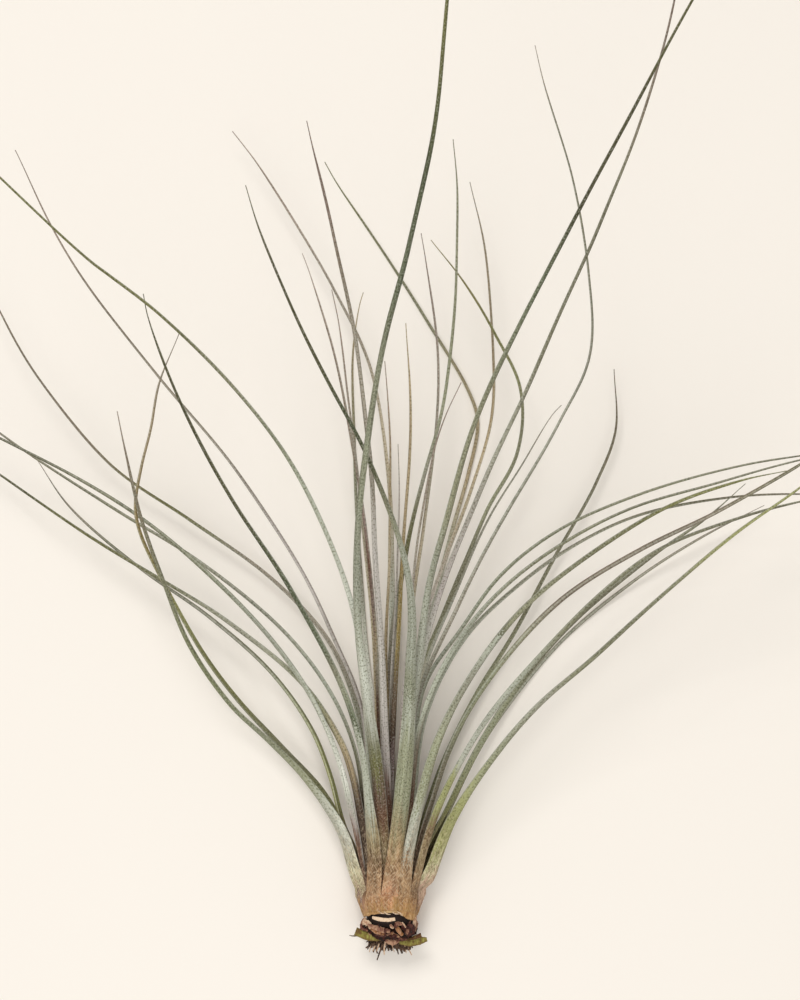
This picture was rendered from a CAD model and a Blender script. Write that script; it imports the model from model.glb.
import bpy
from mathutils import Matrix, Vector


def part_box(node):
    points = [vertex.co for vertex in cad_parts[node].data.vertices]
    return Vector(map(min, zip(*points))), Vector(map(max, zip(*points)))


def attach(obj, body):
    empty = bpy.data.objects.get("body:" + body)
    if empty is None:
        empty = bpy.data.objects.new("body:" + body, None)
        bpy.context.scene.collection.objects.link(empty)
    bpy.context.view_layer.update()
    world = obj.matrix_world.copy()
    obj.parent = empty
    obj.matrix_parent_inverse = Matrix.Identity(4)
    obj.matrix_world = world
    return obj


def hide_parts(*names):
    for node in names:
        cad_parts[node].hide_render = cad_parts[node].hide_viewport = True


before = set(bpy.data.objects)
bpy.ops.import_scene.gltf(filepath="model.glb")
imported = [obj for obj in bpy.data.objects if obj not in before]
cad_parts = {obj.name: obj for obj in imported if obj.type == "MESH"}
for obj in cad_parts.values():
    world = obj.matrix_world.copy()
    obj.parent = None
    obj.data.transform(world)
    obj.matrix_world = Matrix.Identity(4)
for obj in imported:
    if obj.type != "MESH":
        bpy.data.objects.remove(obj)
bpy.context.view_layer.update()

import math

import bpy
import numpy as np
from mathutils import Vector

# Driving dimensions, in millimetres. The plan is measured from the crown of the plant, +Y towards the
# leaf tips, and is laid out as seen from an eye straight above the point EYE.
MM = 0.001
EYE = (4, 152, 900)
PICTURE_LENGTH = 400  # what the picture's long side covers of the surface
NECK_HEIGHT = 12.6  # from the surface to the middle of the rootstock
RING_RADIUS = [11.2, 9.1, 7, 5, 2.7]  # the rings that the leaves are seated in
ROOT_Y = -1.4  # where the leaves start on the plan
CAD_GAP = 0.35
STEM_FRONT = ROOT_Y - CAD_GAP
STEM_LENGTH = 14

# Where the plan's zero lies in the row frame: the rootstock's front face is STEM_FRONT along the plan.
stem_low, stem_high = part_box("stem")
SHIFT = ((stem_low[0] + stem_high[0]) / 2, stem_high[1] - STEM_FRONT * MM)

# The leaves. seat is the ring and the angle of the base (degrees, 0 to the right and 90 up), low and mid
# the width low down and in the blade, broad the length of the broad part, rise the share of the fan's
# opening, and plan the leaf's middle as seen. tones are the colours by distance from the base. Some also
# have a lift, which is how much higher the tip lies, a face, which is the angle that the base faces, a
# roll in degrees, a dip (where, how deep, how long), a slim, which narrows them beyond their middle, or a
# flare, which widens their base. The rest have the usual values.
ROOT_FLARE = 1.02  # how much wider a base is at its very start
USUAL = dict(lift=0, roll=0, dip=(0, 0, 1), slim=1, flare=ROOT_FLARE, slot="leaf_silver")
LEAVES = {
    "left_reach": dict(seat=(2, 132), low=4.3, mid=2.2, broad=60, rise=0.85, lift=60, slim=0.76,
        slot="leaf_olive",
        plan=[(-7.5, 40), (-10.5, 80), (-14.2, 106), (-24, 136), (-40, 167.5), (-64.6, 199.7),
            (-92.5, 226.6), (-112, 241.8), (-120, 247.9), (-156, 281), (-178, 303)],
        tones="0 bark, 20 sheath, 45 silver, 90 frost, 120 frost, 150 silver, 180 fern, 215 khaki, "
            "260 moss"),
    "left_thin_reach": dict(seat=(3, 198), low=4.2, mid=1.7, broad=45, rise=1.15, lift=4, slim=0.85,
        slot="leaf_lilac",
        plan=[(-8, 40), (-12, 72), (-21.7, 96), (-36, 125), (-60, 162), (-92, 201), (-120, 236.5),
            (-136, 263), (-150, 292)],
        tones="0 bark, 40 lilac, 90 lilac, 150 lilac, 200 stone, 250 taupe, 330 rose"),
    "left_low_reach": dict(seat=(0, 238), low=4, mid=1.9, broad=55, rise=0.4, lift=14, slim=0.85,
        slot="leaf_lilac",
        plan=[(-9, 30), (-11, 60), (-18.6, 84), (-28, 100.5), (-48, 121.3), (-80, 144), (-112, 166.5),
            (-140, 200), (-156, 227.5), (-165, 247)],
        tones="0 umber, 30 umber, 60 silver, 90 stone, 140 stone, 165 khaki, 185 moss, 230 taupe"),
    "left_wide": dict(seat=(1, 166), low=5.7, mid=2.3, broad=60, rise=0.75, lift=-20,
        plan=[(-11.6, 8), (-14.5, 24), (-20, 48), (-30.4, 72), (-46.5, 96), (-71.6, 122), (-96, 142.8),
            (-124, 160.5), (-156, 177), (-182, 189)],
        tones="0 rust, 22 rust, 29 lilac, 38 pearl, 48 snow, 60 frost, 80 silver, 115 ash, 140 fern, "
            "200 khaki, 270 dark_olive"),
    "left_wide_under": dict(seat=(2, 172), low=4.3, mid=2, broad=50, rise=0.35, lift=-2,
        plan=[(-9.5, 24), (-13.6, 52), (-24, 76), (-42.3, 100), (-76, 127.5), (-108, 147.5),
            (-140, 167.7), (-156, 179), (-176, 195)],
        tones="0 umber, 34 umber, 50 khaki, 80 ash, 140 putty, 200 khaki, 280 taupe"),
    "left_olive": dict(seat=(1, 196), low=4.6, mid=2.1, broad=45, rise=0.3, slot="leaf_olive",
        plan=[(-13.9, 9.5), (-18.8, 22.7), (-23.7, 42), (-31.1, 60.3), (-47.9, 83.8), (-72, 105.5),
            (-100, 125), (-128, 149.5), (-141, 168)],
        tones="0 umber, 14 bark, 36 lime, 56 lime, 85 sage, 120 putty, 180 drab, 240 mauve"),
    "left_straight": dict(seat=(1, 134), low=4.6, mid=2.1, broad=60, rise=0.36, lift=-36, slim=0.88,
        plan=[(-11.5, 24), (-14.5, 40), (-19.9, 56), (-34, 77.6), (-64, 103), (-92, 120.5), (-124, 140),
            (-156, 162.3), (-178, 177)],
        tones="0 umber, 36 umber, 56 tan, 80 sage, 120 putty, 150 khaki, 190 moss, 230 dark_olive, "
            "290 olive"),
    "left_hook": dict(seat=(0, 212), low=4.6, mid=2.2, broad=50, rise=0.8, lift=50, dip=(85, 12, 50),
        slim=0.88, slot="leaf_olive",
        plan=[(-13, 8), (-19.5, 22), (-28, 36.5), (-44, 54), (-59.6, 70.8), (-75.5, 92.3), (-90, 118),
            (-100, 140), (-101.7, 150), (-99.5, 165), (-95.4, 181), (-92, 199), (-84.5, 218.5)],
        tones="-8.2 plum, -4.4 plum, 0 sheath_pale, 10 sheath_pale, 24 lime, 60 khaki, 95 olive, "
            "130 lime, 170 gold, 205 tan, 240 taupe"),
    "left_outer": dict(seat=(0, 169), face=127, low=6.2, mid=2.1, broad=42, rise=0.5, lift=40,
        dip=(85, 20, 50), flare=1.08, slot="leaf_green",
        plan=[(-14.3, 4), (-20, 20.5), (-34, 41), (-48, 55.5), (-64, 70.5), (-80, 93.5), (-91, 121),
            (-100, 146), (-106, 172), (-109, 187.5)],
        tones="-8.2 mauve, -3 mauve, 0 sheath_pale, 5 cream_green, 20 frost, 34 pearl, 52 sage, "
            "74 fern, 110 green, 150 khaki, 200 taupe, 228 rose"),
    "front_left": dict(seat=(0, 124), low=7, mid=2.6, broad=34, rise=1, lift=-8, slim=0.76,
        slot="leaf_green",
        plan=[(-6.5, 8), (-8.7, 32), (-11.4, 52), (-20.2, 80), (-39.5, 116), (-62.9, 152), (-85, 193.5),
            (-96.6, 225), (-98.5, 234.5)],
        tones="-6 collar, -1 sheath_pink, 3 sheath, 9 bark, 22 sheath_green, 34 silver, 62 silver, "
            "70 forest, 75 pine, 81 fern, 88 drab, 104 pine, 135 forest, 165 dark_olive"),
    "crown_tall": dict(seat=(1, 103), low=5.6, mid=2.4, broad=80, rise=0.8, lift=75, slot="leaf_green",
        plan=[(-2.8, 10), (-4.8, 40), (-8.4, 68), (-12.8, 102), (-12.4, 144), (-9, 176), (-1.8, 217),
            (7.6, 254), (16.8, 295), (21.6, 336), (24, 366), (24.5, 392)],
        tones="-6 collar, 0 wedge, 8 bark, 16 sheath_green, 27 bark, 34 rust, 42 tip_brown, 50 moss, "
            "60 khaki, 72 pearl, 85 frost, 105 silver, 125 ash, 160 fern, 210 fern, 250 pine, "
            "300 forest, 350 moss, 410 dark_olive"),
    "crown_front": dict(seat=(0, 90), low=6.4, mid=2.1, broad=92, rise=0.8, lift=-10, slim=0.8,
        slot="leaf_green",
        plan=[(2.2, 12), (4.7, 32), (8, 76), (8.4, 112), (3.6, 136.8), (-8.4, 168), (-24.5, 199),
            (-40.4, 231.5), (-52, 259.5), (-57.6, 277.9)],
        tones="-6 collar, -1 wedge, 3 sheath_pink, 10 sheath, 24 sheath_green, 40 sage, 58 sage, "
            "70 silver, 84 fern, 96 ash, 130 ash, 158 khaki, 190 forest, 220 dark_olive, "
            "250 dark_olive, 290 drab"),
    "crown_low_left": dict(seat=(1, 270), low=4.6, mid=2.6, broad=55, rise=1, slim=0.6, slot="leaf_olive",
        plan=[(0.2, 40), (0.3, 80), (1, 120), (-0.9, 163), (-7.6, 204.5), (-21.9, 235), (-35.7, 259.5),
            (-52.8, 286), (-63.2, 299.5)],
        tones="0 bark, 60 tan, 110 pearl, 160 sand, 230 stone, 320 rose"),
    "crown_lilac": dict(seat=(2, 92), low=4.3, mid=2.5, broad=55, rise=0.75, slim=0.82, slot="leaf_lilac",
        plan=[(-1.3, 34), (-2.9, 80), (-5.9, 132), (-8.2, 171), (-14.3, 218.7), (-22.7, 259),
            (-30.7, 292), (-33.2, 303.7)],
        tones="0 bark, 24 rust, 40 rust, 52 lilac, 72 lilac_pale, 140 lilac_pale, 165 stone, 220 stone, "
            "250 taupe, 300 mauve"),
    "crown_red": dict(seat=(3, 148), low=3.8, mid=1.7, broad=50, rise=0.75, slot="leaf_lilac",
        plan=[(-3, 34), (-4.4, 68), (-6.2, 108), (-9.4, 138), (-15.6, 179), (-23.1, 213.6), (-32, 243),
            (-35, 250.7)],
        tones="0 rust, 70 rust, 85 stone, 100 tan, 116 mauve, 130 rust, 148 mauve, 170 taupe, 260 rose"),
    "crown_tan": dict(seat=(1, 235), low=4.2, mid=1.6, broad=45, rise=1, slim=0.85, slot="leaf_olive",
        plan=[(-4.6, 40), (-5.8, 84), (-8.8, 121), (-12.8, 160), (-17.1, 197), (-20.7, 223),
            (-23.3, 236.2)],
        tones="0 bark, 60 tan, 110 sand, 160 stone, 240 rose"),
    "crown_bowed": dict(seat=(0, 262), low=3.8, mid=1.6, broad=45, rise=0, lift=-1.5,
        plan=[(-4.2, 54), (-8.8, 88), (-12.5, 132), (-14.1, 172), (-15, 209), (-12, 230), (-10.5, 235)],
        tones="0 bark, 60 lilac, 80 snow, 105 pearl, 125 putty, 170 khaki, 240 tan"),
    "crown_needle": dict(seat=(3, 250), low=3.6, mid=1.4, broad=45, rise=1,
        plan=[(-0.8, 50), (-1.5, 92), (-0.4, 128), (0.2, 168), (-1.1, 194), (-2, 207.6)],
        tones="0 bark, 60 tan, 110 tan, 130 sand, 160 tan, 210 rose"),
    "crown_yellow": dict(seat=(3, 98), low=3.2, mid=2, broad=55, rise=0.7, slim=0.85, slot="leaf_olive",
        plan=[(0.6, 50), (2.8, 86), (4.6, 124), (7.8, 168), (8, 195), (6.5, 222.8)],
        tones="0 bark, 30 lilac_dark, 40 lilac, 52 lilac_dark, 66 umber, 82 tip_brown, 98 gold, "
            "124 gold, 150 tan"),
    "crown_short": dict(seat=(4, 210), low=3.2, mid=1.2, broad=40, rise=1, slot="leaf_lilac",
        plan=[(-0.5, 50), (1.6, 98), (3.1, 128), (3.8, 151), (3.1, 174.4)],
        tones="0 bark, 66 taupe, 90 lilac_pale, 120 lilac_pale, 180 rose"),
    "right_bow": dict(seat=(2, 252), low=4.2, mid=2.4, broad=70, rise=1, lift=25, slim=0.7,
        plan=[(-0.6, 50), (1.5, 100), (6.6, 132), (14.2, 163.7), (21.9, 193), (25.9, 231), (27, 272),
            (25.2, 296.3)],
        tones="0 bark, 60 lilac_dark, 110 putty, 138 moss, 165 putty, 200 sage, 300 drab"),
    "right_low_bow": dict(seat=(1, 306), low=4.4, mid=2.2, broad=55, rise=1, slim=0.8, slot="leaf_olive",
        plan=[(8, 45), (14.4, 104), (22, 128.8), (32.3, 155.5), (40.2, 183.7), (41.2, 212), (37.9, 251.5),
            (32, 279.2)],
        tones="0 bark, 60 lilac, 110 lilac_pale, 150 sand, 190 tan, 285 taupe"),
    "right_needle": dict(seat=(2, 292), low=4, mid=1.7, broad=50, rise=1, lift=-4, slot="leaf_olive",
        plan=[(4.6, 50), (9.4, 113), (13.4, 142), (18.6, 182), (18.8, 213), (14.4, 248), (12.5, 258.7)],
        tones="0 bark, 60 lilac, 120 sand, 180 stone, 262 mauve"),
    "right_back_bow": dict(seat=(0, 286), low=3.8, mid=2.1, broad=55, rise=0, lift=-1.8, slim=0.8,
        plan=[(6, 40), (15, 100), (24.5, 138), (31.4, 163), (34.9, 183.5), (31.2, 196), (14.7, 224),
            (-8, 259), (-21.3, 279), (-26, 287.2)],
        tones="0 bark, 60 silver, 120 silver, 170 tan, 240 khaki, 330 moss"),
    "right_green_bow": dict(seat=(3, 303), low=4.2, mid=2.7, broad=60, rise=0.7, slim=0.7,
        plan=[(5.5, 45), (10.2, 78), (21.9, 107), (38.1, 146.5), (50.7, 170.4), (52, 197), (42, 218.4),
            (28, 241.3), (16.5, 256)],
        tones="0 sheath, 50 lime, 90 sage, 110 khaki, 135 drab, 160 sage, 190 khaki, 230 olive, "
            "290 gold"),
    "right_faint": dict(seat=(4, 90), low=3.2, mid=1.2, broad=45, rise=0.8, slot="leaf_lilac",
        plan=[(4.5, 60), (8.4, 110), (11.8, 140), (17.2, 170), (22, 184.7), (28.5, 199)],
        tones="0 sheath, 80 lilac, 140 stone, 205 rose"),
    "right_tall": dict(seat=(1, 72), low=4.2, mid=2.5, broad=85, rise=0.72, lift=50, slim=0.82,
        slot="leaf_green",
        plan=[(5, 40), (9.6, 74), (15.3, 116), (21.6, 140.5), (32.4, 179), (52, 222.7), (76, 268.5),
            (100, 313.6), (121, 352), (135, 377)],
        tones="0 sheath, 26 pale_green, 60 silver, 90 pearl, 120 ash, 155 khaki, 200 khaki, 250 pine, "
            "290 dark_olive, 340 dark_olive, 420 olive"),
    "right_tall_lilac": dict(seat=(2, 52), low=4.3, mid=2.3, broad=70, rise=0.7, lift=60, slim=0.78,
        slot="leaf_lilac",
        plan=[(6.5, 40), (12, 86.5), (24, 126.4), (39.2, 163), (59.5, 207.2), (72, 236), (84.8, 264.3),
            (104.8, 317.3), (113.6, 352), (118, 376)],
        tones="0 sheath, 40 lilac, 90 frost, 120 lilac, 180 putty, 230 drab, 300 drab, 335 taupe, "
            "400 mauve"),
    "right_crook": dict(seat=(3, 22), low=4.2, mid=1.9, broad=60, rise=0.85, lift=16, slim=0.85,
        slot="leaf_lilac",
        plan=[(7, 40), (11, 73), (27.3, 111), (46.5, 147.4), (67.3, 182.7), (79.3, 209), (79.4, 242),
            (72.8, 280), (61.2, 320), (57.8, 333.9)],
        tones="0 sheath, 50 lilac, 85 putty, 110 stone, 160 putty, 220 putty, 280 drab, 320 drab, "
            "360 rose"),
    "right_crook_short": dict(seat=(4, 330), low=3.4, mid=1.3, broad=60, rise=1.12,
        plan=[(5, 40), (12, 79), (25, 112.5), (40.2, 146), (53.8, 168), (65.2, 186.3), (68.6, 190)],
        tones="0 bark, 60 tan, 100 pearl, 125 putty, 170 putty, 210 taupe"),
    "right_slant": dict(seat=(0, 311), low=4.1, mid=2.2, broad=50, rise=0.3, slim=0.88, slot="leaf_olive",
        plan=[(12.5, 18), (21, 46), (34, 73), (49.8, 99.5), (67, 131), (82.7, 159.7), (90.4, 180),
            (89.5, 204.3)],
        tones="0 bark, 20 olive, 60 sage, 110 khaki, 170 drab, 230 tip_brown"),
    "right_sweep_top": dict(seat=(1, 40), low=4, mid=2.2, broad=60, rise=1, slim=0.8,
        plan=[(8, 30), (12, 62), (24, 91), (40, 111.8), (64, 131.8), (96, 148.7), (132, 159.4),
            (164, 168.2), (186, 172.5)],
        tones="0 sheath, 26 tan, 36 rust, 58 taupe, 70 silver, 110 ash, 150 khaki, 200 khaki, 280 drab"),
    "right_sweep_mid": dict(seat=(2, 12), low=4.3, mid=2, broad=55, rise=0.6, lift=14, slim=0.85,
        plan=[(9, 35), (13.2, 76.8), (28, 100.5), (44, 122), (68, 140.5), (100, 154.6), (140, 165.8),
            (164, 169.8), (183, 172)],
        tones="0 sheath, 34 silver, 90 ash, 130 fern, 210 khaki, 280 drab"),
    "right_sweep_low": dict(seat=(2, 332), low=4.3, mid=2, broad=55, rise=0.9, slim=0.85,
        plan=[(9, 30), (14, 66), (30, 97), (52.8, 119.4), (76, 135.2), (100, 146.2), (136, 153.1),
            (164, 154.4), (184, 153)],
        tones="0 bark, 34 ash, 90 silver, 150 putty, 210 drab, 280 taupe"),
    "right_light": dict(seat=(0, 59), low=5.4, mid=2.7, broad=58, rise=1, slim=0.85,
        plan=[(7.1, 8), (12.2, 32), (19.2, 56), (31.4, 80), (49.5, 105), (75.4, 127), (109.6, 148.7),
            (140, 159.7), (158.5, 163.7)],
        tones="0 sheath, 13 sheath, 17 pearl, 30 pearl, 42 sage, 60 sage, 90 putty, 109 ash, "
            "112 dark_olive, 115 khaki, 150 khaki, 200 moss, 240 olive"),
    "right_olive": dict(seat=(1, 16), low=4.5, mid=2.6, broad=66, rise=1, slot="leaf_olive",
        plan=[(11, 12), (16.6, 32), (26, 58.6), (45.3, 88.6), (67.7, 112.1), (100, 132.5), (132, 148.2),
            (164, 166.4), (184, 180)],
        tones="0 bark, 18 bark, 34 taupe, 58 drab, 74 sage, 95 sage, 130 taupe, 200 taupe, 280 olive"),
    "right_brown_base": dict(seat=(0, 34), low=5.8, mid=2.4, broad=48, rise=0.75, lift=-8, slim=0.85,
        plan=[(12.7, 8), (20.4, 32), (36.7, 61.7), (61.1, 91.5), (84.9, 115.3), (108.3, 132.7),
            (140, 145.1), (164, 151.4), (184, 155)],
        tones="0 bark, 6 sheath, 18 sheath_green, 27 bark, 34 lime, 46 lime, 56 pearl, 95 silver, "
            "125 khaki, 210 drab"),
    "right_green_wide": dict(seat=(1, 343), low=4.6, mid=3, broad=95, roll=-48, rise=0.85, lift=-10,
        slim=0.8,
        plan=[(15, 14), (24.2, 31.8), (38.8, 59.7), (56.5, 85.2), (76.2, 106.7), (105.9, 130.6),
            (126.2, 144.8), (142, 158.6)],
        tones="0 umber, 18 olive, 40 lime, 60 sage, 80 sage, 110 drab, 160 drab, 220 khaki"),
    "right_low_slant": dict(seat=(0, 338), low=4.8, mid=2.1, broad=46, rise=0, dip=(115, 8, 55),
        plan=[(16, 11), (23.4, 28.5), (40.8, 61.5), (67, 94.2), (98, 120.4), (124, 136.9),
            (149.6, 149.9)],
        tones="0 umber, 24 olive, 60 putty, 120 putty, 220 taupe"),
    "right_outer": dict(seat=(0, 6), face=55, low=6, mid=2.4, broad=44, rise=1, lift=12, slim=0.85,
        flare=1.35, slot="leaf_olive",
        plan=[(14.6, 0), (24.9, 24), (40, 47.5), (59.7, 70.4), (83.8, 91.3), (114.4, 119), (140, 140),
            (164, 157.1), (182, 171)],
        tones="-7.4 pinkish, -4 blush, 4 blush, 8 cream_green, 20 lime, 40 lime, 60 sage, 90 putty, "
            "110 khaki, 160 khaki, 195 lime"),
}

# Colours of the living and dry parts, as red, green and blue from 0 to 255.
PALETTE = {
    "collar": (186, 142, 98), "collar_gold": (178, 138, 84), "collar_deep": (150, 108, 68),
    "collar_pale": (206, 174, 124), "wedge": (194, 138, 102), "sheath": (178, 145, 108),
    "sheath_pink": (188, 151, 119), "sheath_green": (158, 143, 107), "sheath_pale": (200, 180, 150),
    "bark": (119, 92, 67), "umber": (78, 60, 46), "pinkish": (158, 118, 108), "plum": (150, 112, 106),
    "blush": (206, 176, 154), "rust": (108, 75, 57), "tan": (172, 154, 122), "sand": (190, 176, 150),
    "cream_green": (208, 205, 170), "pale_green": (184, 188, 154), "lime": (159, 160, 108),
    "sage": (154, 156, 128), "green": (128, 132, 98), "snow": (228, 229, 218), "frost": (206, 208, 195),
    "pearl": (192, 194, 180), "silver": (180, 183, 166), "ash": (162, 165, 149), "putty": (152, 150, 134),
    "stone": (164, 156, 142), "fern": (140, 142, 119), "khaki": (132, 131, 106), "pine": (103, 109, 86),
    "forest": (86, 90, 65), "dark_olive": (82, 79, 54), "olive": (124, 123, 80), "moss": (118, 117, 74),
    "drab": (124, 121, 100), "gold": (152, 134, 86), "lilac": (182, 172, 168),
    "lilac_pale": (198, 192, 186), "lilac_dark": (140, 122, 120), "mauve": (134, 114, 106),
    "taupe": (138, 126, 110), "tip_brown": (108, 92, 76), "rose": (156, 136, 124),
    "cream": (236, 208, 176), "tan_pale": (186, 146, 116), "char": (36, 24, 19), "papery": (146, 102, 82),
    "papery_red": (102, 62, 50), "orange_brown": (160, 108, 62), "oxblood": (82, 36, 27),
    "stub_brown": (104, 74, 42), "stub_olive": (130, 117, 55), "stub_bright": (160, 154, 80),
    "root": (84, 64, 48), "root_mid": (112, 86, 68),
}


def linear(value):
    """A 0 to 255 colour value as light."""
    share = value / 255
    return share / 12.92 if share <= 0.04045 else ((share + 0.055) / 1.055) ** 2.4


def paint(name, gain=1.0):
    return [min(1, gain * linear(value)) for value in PALETTE[name]] + [1]


def tone_stops(tones):
    """Tones such as "0 sheath, 20 silver" as pairs of a distance and a colour's name."""
    pairs = [stop.split() for stop in tones.split(", ")]
    return [(float(distance), tone) for distance, tone in pairs]


def lerp(a, b, t):
    return a + (b - a) * t


def smoothstep(x, low, high):
    t = np.clip((x - low) / (high - low), 0, 1)
    return t * t * (3 - 2 * t)


def unit(vector):
    return vector / np.linalg.norm(vector)


def heading(line, i):
    """The direction of a line of points at one of them."""
    return unit(line[min(i + 1, len(line) - 1)] - line[max(i - 1, 0)])


def under_eye(x, y, z):
    """Where a point seen at (x, y) on the surface really lies when it is z above it."""
    shrink = 1 - z / EYE[2]
    return np.stack([EYE[0] + (x - EYE[0]) * shrink, EYE[1] + (y - EYE[1]) * shrink, z], -1)


def seen_at(x, y, z):
    """Where a point that is z above the surface is seen on it."""
    shrink = 1 - z / EYE[2]
    return EYE[0] + (x - EYE[0]) / shrink, EYE[1] + (y - EYE[1]) / shrink


def in_frame(points):
    """Points on the plan, in millimetres, as the row frame's metres."""
    placed = np.asarray(points, float) * MM
    placed[..., 0] += SHIFT[0]
    placed[..., 1] += SHIFT[1]
    return placed


def smooth_curve(corners, steps):
    """A centripetal curve through the corners, sampled evenly by its own parameter."""
    corners = np.asarray(corners, float)
    count = len(corners) - 1
    before = 2 * corners[0] - corners[1]
    after = 2 * corners[-1] - corners[-2]
    padded = np.vstack([before, corners, after])
    samples = []
    for step in range(steps + 1):
        at = count * step / steps
        piece = min(int(at), count - 1)
        t = at - piece
        p0, p1, p2, p3 = padded[piece:piece + 4]
        d0, d1, d2 = (math.sqrt(np.linalg.norm(b - a)) for a, b in ((p0, p1), (p1, p2), (p2, p3)))
        start = ((p1 - p0) / d0 - (p2 - p0) / (d0 + d1) + (p2 - p1) / d1) * d1
        end = ((p2 - p1) / d1 - (p3 - p1) / (d1 + d2) + (p3 - p2) / d2) * d1
        square = -3 * p1 + 3 * p2 - 2 * start - end
        cube = 2 * p1 - 2 * p2 + start + end
        samples.append(p1 + start * t + square * t * t + cube * t ** 3)
    return np.array(samples)


class Skin:
    """Collects strips of points into one mesh, each point with its place across and along its strip."""

    def __init__(self):
        self.points = []
        self.faces = []
        self.places = []
        self.edges = []

    def strip(self, rows, across, along, edge=0):
        """Joins rows of points into a closed tube with closed ends. edge is 1 at a strip's edges."""
        rows = np.asarray(rows, float)
        count, corners = rows.shape[:2]
        first = len(self.points)
        shape = (count, corners)
        self.points.extend(rows.reshape(-1, 3))
        place = [np.broadcast_to(across, shape), np.broadcast_to(along, shape)]
        self.places.extend(np.stack(place, -1).reshape(-1, 2))
        self.edges.extend(np.broadcast_to(edge, shape).reshape(-1))
        for r in range(count - 1):
            for c in range(corners):
                a = first + r * corners + c
                b = first + r * corners + (c + 1) % corners
                self.faces.append((a, b, b + corners, a + corners))
        last = first + (count - 1) * corners
        self.faces.append(tuple(reversed(range(first, first + corners))))
        self.faces.append(tuple(range(last, last + corners)))

    def keep_on_floor(self):
        for point in self.points:
            point[2] = max(point[2], 0)

    def build(self, name, material, smooth=True):
        mesh = bpy.data.meshes.new(name)
        mesh.from_pydata([tuple(p) for p in in_frame(self.points)], [], self.faces)
        loops = np.empty(len(mesh.loops), dtype=np.int32)
        mesh.loops.foreach_get("vertex_index", loops)
        layer = mesh.uv_layers.new(name="UVMap")
        layer.data.foreach_set("uv", np.asarray(self.places, np.float32)[loops].ravel())
        edge = mesh.attributes.new(name="edge", type="FLOAT", domain="POINT")
        edge.data.foreach_set("value", np.asarray(self.edges, np.float32))
        if smooth:
            mesh.shade_smooth()
        mesh.update()
        made = bpy.data.objects.new(name, mesh)
        bpy.context.scene.collection.objects.link(made)
        mesh.materials.append(material)
        return made


# The line of a leaf
LEAF_ROWS = 170
RING_BIAS = 1.25  # above 1, sections lie closer together near the base
CURVE_STEPS = 600
FLOOR_CLEAR = NECK_HEIGHT - RING_RADIUS[0]
SPREAD = 5  # how far the fan opens at most, in heights of a leaf's seat above the lowest one
SPREAD_LENGTH = 200
WAVER = 0.16  # how far the line strays to the sides
WAVER_START = (20, 90)
WAVER_LENGTH = (8, 13)
PHASE = 6  # the most that a wave along a leaf is shifted


def centre_line(leaf, rng):
    """Points down the middle of a leaf, how far each is from the base, and its share of the length."""
    ring, degrees = leaf["seat"]
    radius, angle = RING_RADIUS[ring], math.radians(degrees)
    seat = np.array([radius * math.cos(angle), ROOT_Y, NECK_HEIGHT + radius * math.sin(angle)])
    curve = smooth_curve([seen_at(*seat), *leaf["plan"]], CURVE_STEPS)
    travelled = np.concatenate([[0], np.cumsum(np.linalg.norm(np.diff(curve, axis=0), axis=1))])
    share = np.linspace(0, 1, LEAF_ROWS) ** RING_BIAS
    distance = share * travelled[-1]
    x = np.interp(distance, travelled, curve[:, 0])
    y = np.interp(distance, travelled, curve[:, 1])
    opened = SPREAD * (1 - np.exp(-distance / SPREAD_LENGTH))
    height = FLOOR_CLEAR + (RING_RADIUS[0] + seat[2] - NECK_HEIGHT) * (1 + leaf["rise"] * opened)
    height = height + leaf["lift"] * share ** 2
    dip_at, dip_depth, dip_length = leaf["dip"]
    height = height - dip_depth * np.exp(-(((distance - dip_at) / dip_length) ** 2))
    waver = WAVER * smoothstep(distance, *WAVER_START)
    x = x + waver * np.sin(distance / rng.uniform(*WAVER_LENGTH) + rng.uniform(0, PHASE))
    points = under_eye(x, y, height)
    points[0] = seat
    return points, distance, share


# The width of a leaf
TAPER = 0.62  # what the blade loses of its width by its tip
TAPER_POWER = 2.2
ROOT_LENGTH = 14
SLIM_PART = (0.25, 0.6)  # the slim ones narrow between these shares of their length
RIPPLE = 0.03  # how uneven the width is, as a share of it
RIPPLE_LENGTH = 9
TIP_WIDTH = 0.34
TIP_LENGTH = 30


def leaf_width(leaf, gone, part, length, ripple):
    """How wide a leaf is at a distance from its base that is this part of its length."""
    blade = leaf["mid"] * (1 - TAPER * part ** TAPER_POWER)
    sheath = lerp(leaf["flare"], 1, smoothstep(gone, 0, ROOT_LENGTH))
    broad = (leaf["low"] * sheath - leaf["mid"]) / (1 + (gone / leaf["broad"]) ** 4)
    slim = lerp(1, leaf["slim"], smoothstep(part, *SLIM_PART))
    width = (blade + broad) * (slim * (1 + RIPPLE * math.sin(gone / RIPPLE_LENGTH + ripple)))
    return TIP_WIDTH + (width - TIP_WIDTH) * smoothstep(length - gone, 0, TIP_LENGTH)


# The section of a leaf: an outside and an inside, each a row of points across it
OUTER_POINTS = 11
INNER_POINTS = 9
OUTER = np.linspace(-math.pi / 2, math.pi / 2, OUTER_POINTS)
INNER = np.linspace(math.pi / 2, -math.pi / 2, INNER_POINTS + 2)[1:-1]
ACROSS = np.concatenate([np.sin(OUTER), np.sin(INNER)])
INWARD = np.concatenate([np.zeros(OUTER_POINTS), np.cos(INNER)])
BASE_WALL = 1.15
ROD_WALL = 0.75  # of the width, where the leaf has closed to a rod
MOST_WALL = 0.8
MOST_HALF = 0.95  # of the ring's radius, so that a base never reaches right round it
CLOSING = (30, 130)  # a leaf closes to a rod between these distances
CURL = (0.34, 0.45)  # how deep its channel is before and after that, of its width
FREE_LENGTH = 40  # up to here its base still follows the round of its ring
FORWARD = np.array([0.0, 1, 0])
TURN_LENGTH = 10  # its sections turn square to its line over this length
MOST_TWIST = 0.35
TWIST_PART = (40, 220)
ROLL_LENGTH = 60  # a leaf has all of its roll from here on


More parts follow.
